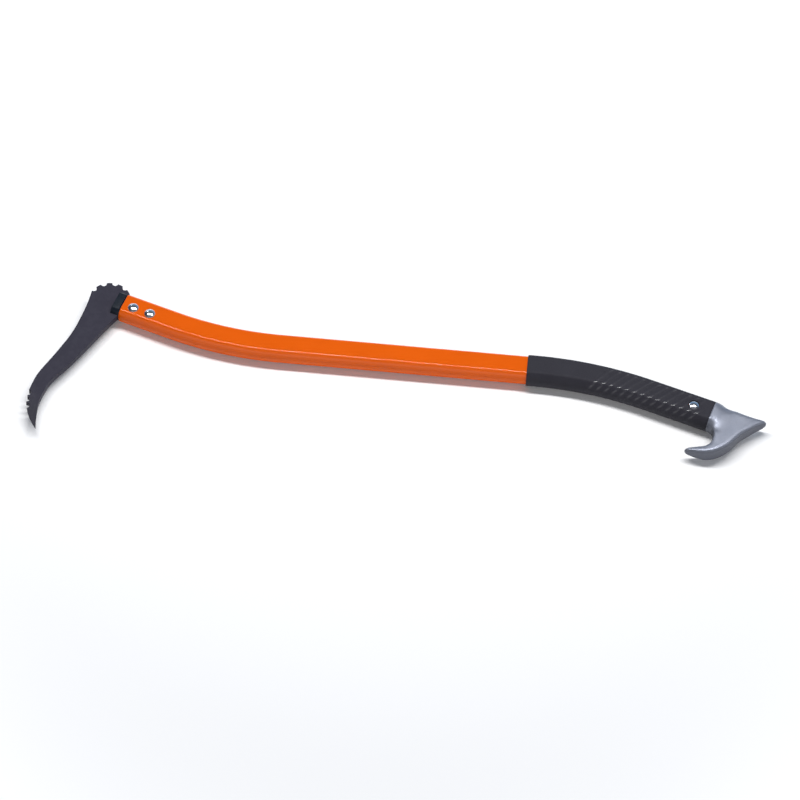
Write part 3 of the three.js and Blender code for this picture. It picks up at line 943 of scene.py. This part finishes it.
def dark_steel():
    """A dark coating, which wear has taken down to streaked bare steel over the ground tip."""
    n = Nodes("dark_steel")
    coating_deep, coating_pale = (0.034, 0.032, 0.048), (0.040, 0.038, 0.055)
    bare_deep, bare_pale = (0.034, 0.033, 0.045), (0.056, 0.056, 0.066)
    coating = n.blend(n.ramp(n.noise(140, 5, 0.6), 0.35, 0.68), coating_deep, coating_pale)
    turn = HOOK_BEND[1]
    along = n.add("ShaderNodeMapping", Vector=n.place, Rotation=(0, 0, turn)).outputs["Vector"]
    along = n.add("ShaderNodeSeparateXYZ", Vector=along).outputs["Y"]
    grind_start = station(0) @ Vector((-SWEEP * 0.8, -(REACH - GRIND_LENGTH), 0))
    start = (Matrix.Rotation(turn, 4, "Z") @ grind_start).y
    ground = n.ramp(along, start - 0.004, start - 0.024)
    streaks = n.ramp(n.noise(1.0, 3, 0.6, stretch=(300, 30, 300), turn=turn + 0.3), 0.44, 0.7)
    n.link(n.blend(ground, coating, n.blend(streaks, bare_deep, bare_pale)), "Base Color")
    n.link(n.grain(260, 4, 0.42, 0.54), "Roughness")
    n.set(Specular_IOR_Level=0.1)
    pits = n.bump(n.noise(700, 3, 0.6), 0.00004, 0.5)
    n.link(n.bump(n.noise(160, 3), 0.00008, 0.4, pits), "Normal")
    return n.material


def black_plastic():
    """Moulded plastic with a fine texture."""
    n = Nodes("black_plastic")
    n.link(n.blend(n.grain(300, 3), (0.006, 0.010, 0.017), (0.009, 0.014, 0.023)), "Base Color")
    n.link(n.grain(500, 2, 0.4, 0.52), "Roughness")
    n.set(Specular_IOR_Level=0.16)
    n.link(n.bump(n.noise(1400, 2), 0.00003, 0.6), "Normal")
    return n.material


def black_rubber():
    """Grained matt rubber, glossier and lighter on the crests of the ribs, from use and from a painted
    highlight.
    """
    n = Nodes("black_rubber")
    deep, pale = (0.0255, 0.0245, 0.0325), (0.0285, 0.0275, 0.036)
    dust, rubbed_and_highlight = (0.042, 0.041, 0.052), (0.044, 0.043, 0.054)
    grain = n.noise(1500, 3, 0.6)
    polish_and_glint = n.tree.nodes.new("ShaderNodeAttribute")
    polish_and_glint.attribute_name = "polish_and_glint"
    wear_and_glint = polish_and_glint.outputs["Fac"]
    base = n.blend(n.grain(35, 3), deep, pale)
    base = n.blend(n.ramp(grain, 0.35, 0.7, 0, 0.3), base, dust)
    # Painted highlight: the colour is lighter on the crests where the glints fall, as well as from wear
    n.link(n.blend(n.ramp(wear_and_glint, 0, 1, 0, 0.4), base, rubbed_and_highlight), "Base Color")
    rough = n.add("ShaderNodeMath", Value=n.ramp(wear_and_glint, 0, 1, 0.58, 0.4))
    rough.operation = "ADD"
    n.tree.links.new(n.grain(700, 3, -0.04, 0.04), rough.inputs[1])
    n.link(rough.outputs[0], "Roughness")
    n.link(n.ramp(wear_and_glint, 0.2, 1, 0.0, 0.9), "Coat Weight")
    n.set(Specular_IOR_Level=0.12, Coat_Roughness=0.24)
    n.link(n.bump(grain, 0.00005, 0.5), "Normal")
    return n.material


def bright_steel():
    """Plated steel with a faintly uneven gloss."""
    n = Nodes("bright_steel")
    n.link(n.blend(n.grain(500, 3), (0.70, 0.72, 0.76), (0.78, 0.80, 0.83)), "Base Color")
    n.link(n.grain(900, 3, 0.14, 0.22), "Roughness")
    n.set(Metallic=1.0)
    n.link(n.bump(n.noise(300, 1), 0.000002, 0.3), "Normal")
    return n.material


def grey_casting():
    """A satin light-alloy casting with a cast grain, and painted shade on its steep sides."""
    n = Nodes("grey_casting")
    deep, pale, speck = (0.215, 0.232, 0.285), (0.25, 0.265, 0.318), (0.38, 0.40, 0.45)
    upright_painted_shade = (0.115, 0.122, 0.15)
    base = n.blend(n.grain(45, 4), deep, pale)
    base = n.blend(n.ramp(n.noise(1300, 2), 0.55, 0.8, 0.0, 0.3), base, speck)
    # Painted shade: the colour darkens where the surface stands steep, as if the sides lay in shade
    n.link(n.blend(n.ramp(n.flatness(), 0.9, 0.35), base, upright_painted_shade), "Base Color")
    n.link(n.grain(300, 4, 0.34, 0.44), "Roughness")
    n.set(Metallic=0.5, Specular_IOR_Level=0.3)
    fine = n.bump(n.noise(1100, 2), 0.00002, 0.4)
    n.link(n.bump(n.noise(90, 3), 0.0001, 0.3, fine), "Normal")
    return n.material


MATERIALS = {
    "orange_paint": orange_paint(),
    "dark_steel": dark_steel(),
    "black_plastic": black_plastic(),
    "black_rubber": black_rubber(),
    "bright_rivet": bright_steel(),
    "grey_casting": grey_casting(),
}


def dress(obj, node, slot):
    """Gives a piece its material and its place in the part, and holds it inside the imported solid's box."""
    low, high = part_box(node)
    set_vertex_places(obj.data, np.clip(vertex_places(obj.data), low, high))
    obj.data.materials.clear()
    obj.data.materials.append(MATERIALS[slot])
    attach(obj, "root")
    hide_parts(node)


dress(build_tube(), "handle_tube", "orange_paint")
dress(build_grip(), "grip_sleeve", "black_rubber")
dress(build_hook(), "hook_blade", "dark_steel")
dress(build_collar("tang_shell_upper", "collar_upper"), "tang_shell_upper", "black_plastic")
dress(build_collar("tang_shell_lower", "collar_lower"), "tang_shell_lower", "black_plastic")
dress(build_rivet("front_hook_rivet", *HOOK_RIVETS[0]), "hook_rivet_front", "bright_rivet")
dress(build_rivet("rear_hook_rivet", *HOOK_RIVETS[1]), "hook_rivet_rear", "bright_rivet")
dress(build_rivet("grip_end_rivet", *GRIP_RIVET), "grip_rivet", "bright_rivet")
dress(build_claw(), "end_claw", "grey_casting")


# Floor, light and camera, in metres
FLOOR_REACH = 4
WHITE = (1.0, 1.0, 1.0)

# The floor's glow: the distances between which it grows, and its strength at either
GLOW_BETWEEN = (0.42, 1.3)
GLOW = (0.07, 0.95)

# Light from the surroundings: each side's colour low down and high up
FRONT_LOW, FRONT_HIGH = (1.2, 1.2, 1.2), (0.16, 0.16, 0.17)
BACK_LOW, BACK_HIGH = (0.20, 0.33, 0.50), (0.055, 0.065, 0.08)
LEFT_END = (0.03, 0.03, 0.04)

# The photograph's camera, fitted to the edges of the tube and the grip
PHOTO_SIZE = 800
CAMERA_AZIMUTH = math.radians(6.10)
CAMERA_ELEVATION = math.radians(54.75)
CAMERA_DISTANCE = 4.4
METRES_PER_PIXEL = 0.001089
SENSOR = 36
HOOK_BEND_END_SEEN_AT = (280.92, 348.79)


def seen_or_mirrored(tree):
    """1 for what the camera sees, also in reflections and through glass, and 0 for light on the object."""
    light_path = tree.nodes.new("ShaderNodeLightPath")
    rays = light_path.outputs["Is Camera Ray"]
    for name in ("Is Glossy Ray", "Is Transmission Ray"):
        either = tree.nodes.new("ShaderNodeMath")
        either.operation = "MAXIMUM"
        tree.links.new(rays, either.inputs[0])
        tree.links.new(light_path.outputs[name], either.inputs[1])
        rays = either.outputs[0]
    return rays


def build_floor():
    """A pale matt floor, which stays white to the eye where the light on it fades with distance."""
    mesh = bpy.data.meshes.new("floor")
    reach = FLOOR_REACH
    corners = [(-reach, -reach, 0), (reach, -reach, 0), (reach, reach, 0), (-reach, reach, 0)]
    mesh.from_pydata(corners, [], [(0, 1, 2, 3)])
    floor = placed("floor", mesh)
    material = bpy.data.materials.new("pale_floor")
    material.use_nodes = True
    tree = material.node_tree
    shader = tree.nodes["Principled BSDF"]
    shader.inputs["Base Color"].default_value = (0.93, 0.93, 0.935, 1)
    shader.inputs["Roughness"].default_value = 1
    shader.inputs["Specular IOR Level"].default_value = 0
    shader.inputs["Emission Color"].default_value = (*WHITE, 1)
    away = tree.nodes.new("ShaderNodeVectorMath")
    away.operation = "LENGTH"
    tree.links.new(tree.nodes.new("ShaderNodeTexCoord").outputs["Object"], away.inputs[0])
    glow = tree.nodes.new("ShaderNodeMath")
    glow.operation = "MULTIPLY"
    tree.links.new(seen_or_mirrored(tree), glow.inputs[0])
    tree.links.new(smooth_range(tree, away.outputs["Value"], *GLOW_BETWEEN, *GLOW), glow.inputs[1])
    tree.links.new(glow.outputs[0], shader.inputs["Emission Strength"])
    mesh.materials.append(material)


def area_light(name, place, width, depth, watts):
    """A rectangular light aimed at the object."""
    data = bpy.data.lights.new(name, "AREA")
    data.shape = "RECTANGLE"
    data.size = width
    data.size_y = depth
    data.energy = watts
    light = bpy.data.objects.new(name, data)
    light.location = place
    light.rotation_mode = "QUATERNION"
    light.rotation_quaternion = (-Vector(place)).to_track_quat("-Z", "Y")
    bpy.context.scene.collection.objects.link(light)


def build_light():
    """A long soft light overhead, a small one behind, and surroundings bright low down in front."""
    area_light("overhead", (0.0, 0.49, 1.9), 2.1, 0.25, 43)
    area_light("small_left", (-1.0, 1.55, 0.95), 0.16, 0.16, 0.9)
    world = bpy.data.worlds.new("studio")
    bpy.context.scene.world = world
    world.use_nodes = True
    tree = world.node_tree
    parts = tree.nodes.new("ShaderNodeSeparateXYZ")
    tree.links.new(tree.nodes.new("ShaderNodeTexCoord").outputs["Generated"], parts.inputs[0])
    along, across, up = parts.outputs["X"], parts.outputs["Y"], parts.outputs["Z"]

    def change(value, low, high, first, second):
        return mixed(tree, smooth_range(tree, value, low, high), first, second)

    front = change(up, 0.25, 0.55, FRONT_LOW, FRONT_HIGH)
    back = change(up, 0.45, 0.7, BACK_LOW, BACK_HIGH)
    colour = change(across, -0.35, 0.15, front, back)
    colour = change(along, -0.35, -0.75, colour, LEFT_END)
    colour = change(up, 0.1, 0.2, WHITE, colour)
    tree.links.new(colour, tree.nodes["Background"].inputs["Color"])
    tree.nodes["Background"].inputs["Strength"].default_value = 1.0


def build_camera():
    """Places the camera so that the end of the hook's bend lies where the photograph shows it."""
    level = math.cos(CAMERA_ELEVATION)
    to_camera = Vector((
        math.sin(CAMERA_AZIMUTH) * level, -math.cos(CAMERA_AZIMUTH) * level, math.sin(CAMERA_ELEVATION),
    ))
    right = Vector((math.cos(CAMERA_AZIMUTH), math.sin(CAMERA_AZIMUTH), 0))
    up = to_camera.cross(right)
    place = (Vector((-MIDDLE / 2, 0, 0)) + TOOL_AT) * MM + to_camera * CAMERA_DISTANCE
    focal_pixels = CAMERA_DISTANCE / METRES_PER_PIXEL
    seen_x, seen_y = HOOK_BEND_END_SEEN_AT
    middle = PHOTO_SIZE / 2
    aim = -to_camera * focal_pixels + right * (middle - seen_x) - up * (middle - seen_y)
    back = -aim.normalized()
    right = (right - back * right.dot(back)).normalized()
    up = back.cross(right)
    data = bpy.data.cameras.new("photo_camera")
    data.sensor_width = SENSOR
    data.lens = SENSOR * focal_pixels / PHOTO_SIZE
    data.clip_start = 0.1
    data.clip_end = 50
    camera = placed("photo_camera", data)
    camera.matrix_world = Matrix((
        (right.x, up.x, back.x, place.x),
        (right.y, up.y, back.y, place.y),
        (right.z, up.z, back.z, place.z),
        (0, 0, 0, 1),
    ))
    bpy.context.scene.camera = camera


build_floor()
build_light()
build_camera()
bpy.context.scene.view_settings.view_transform = "Standard"
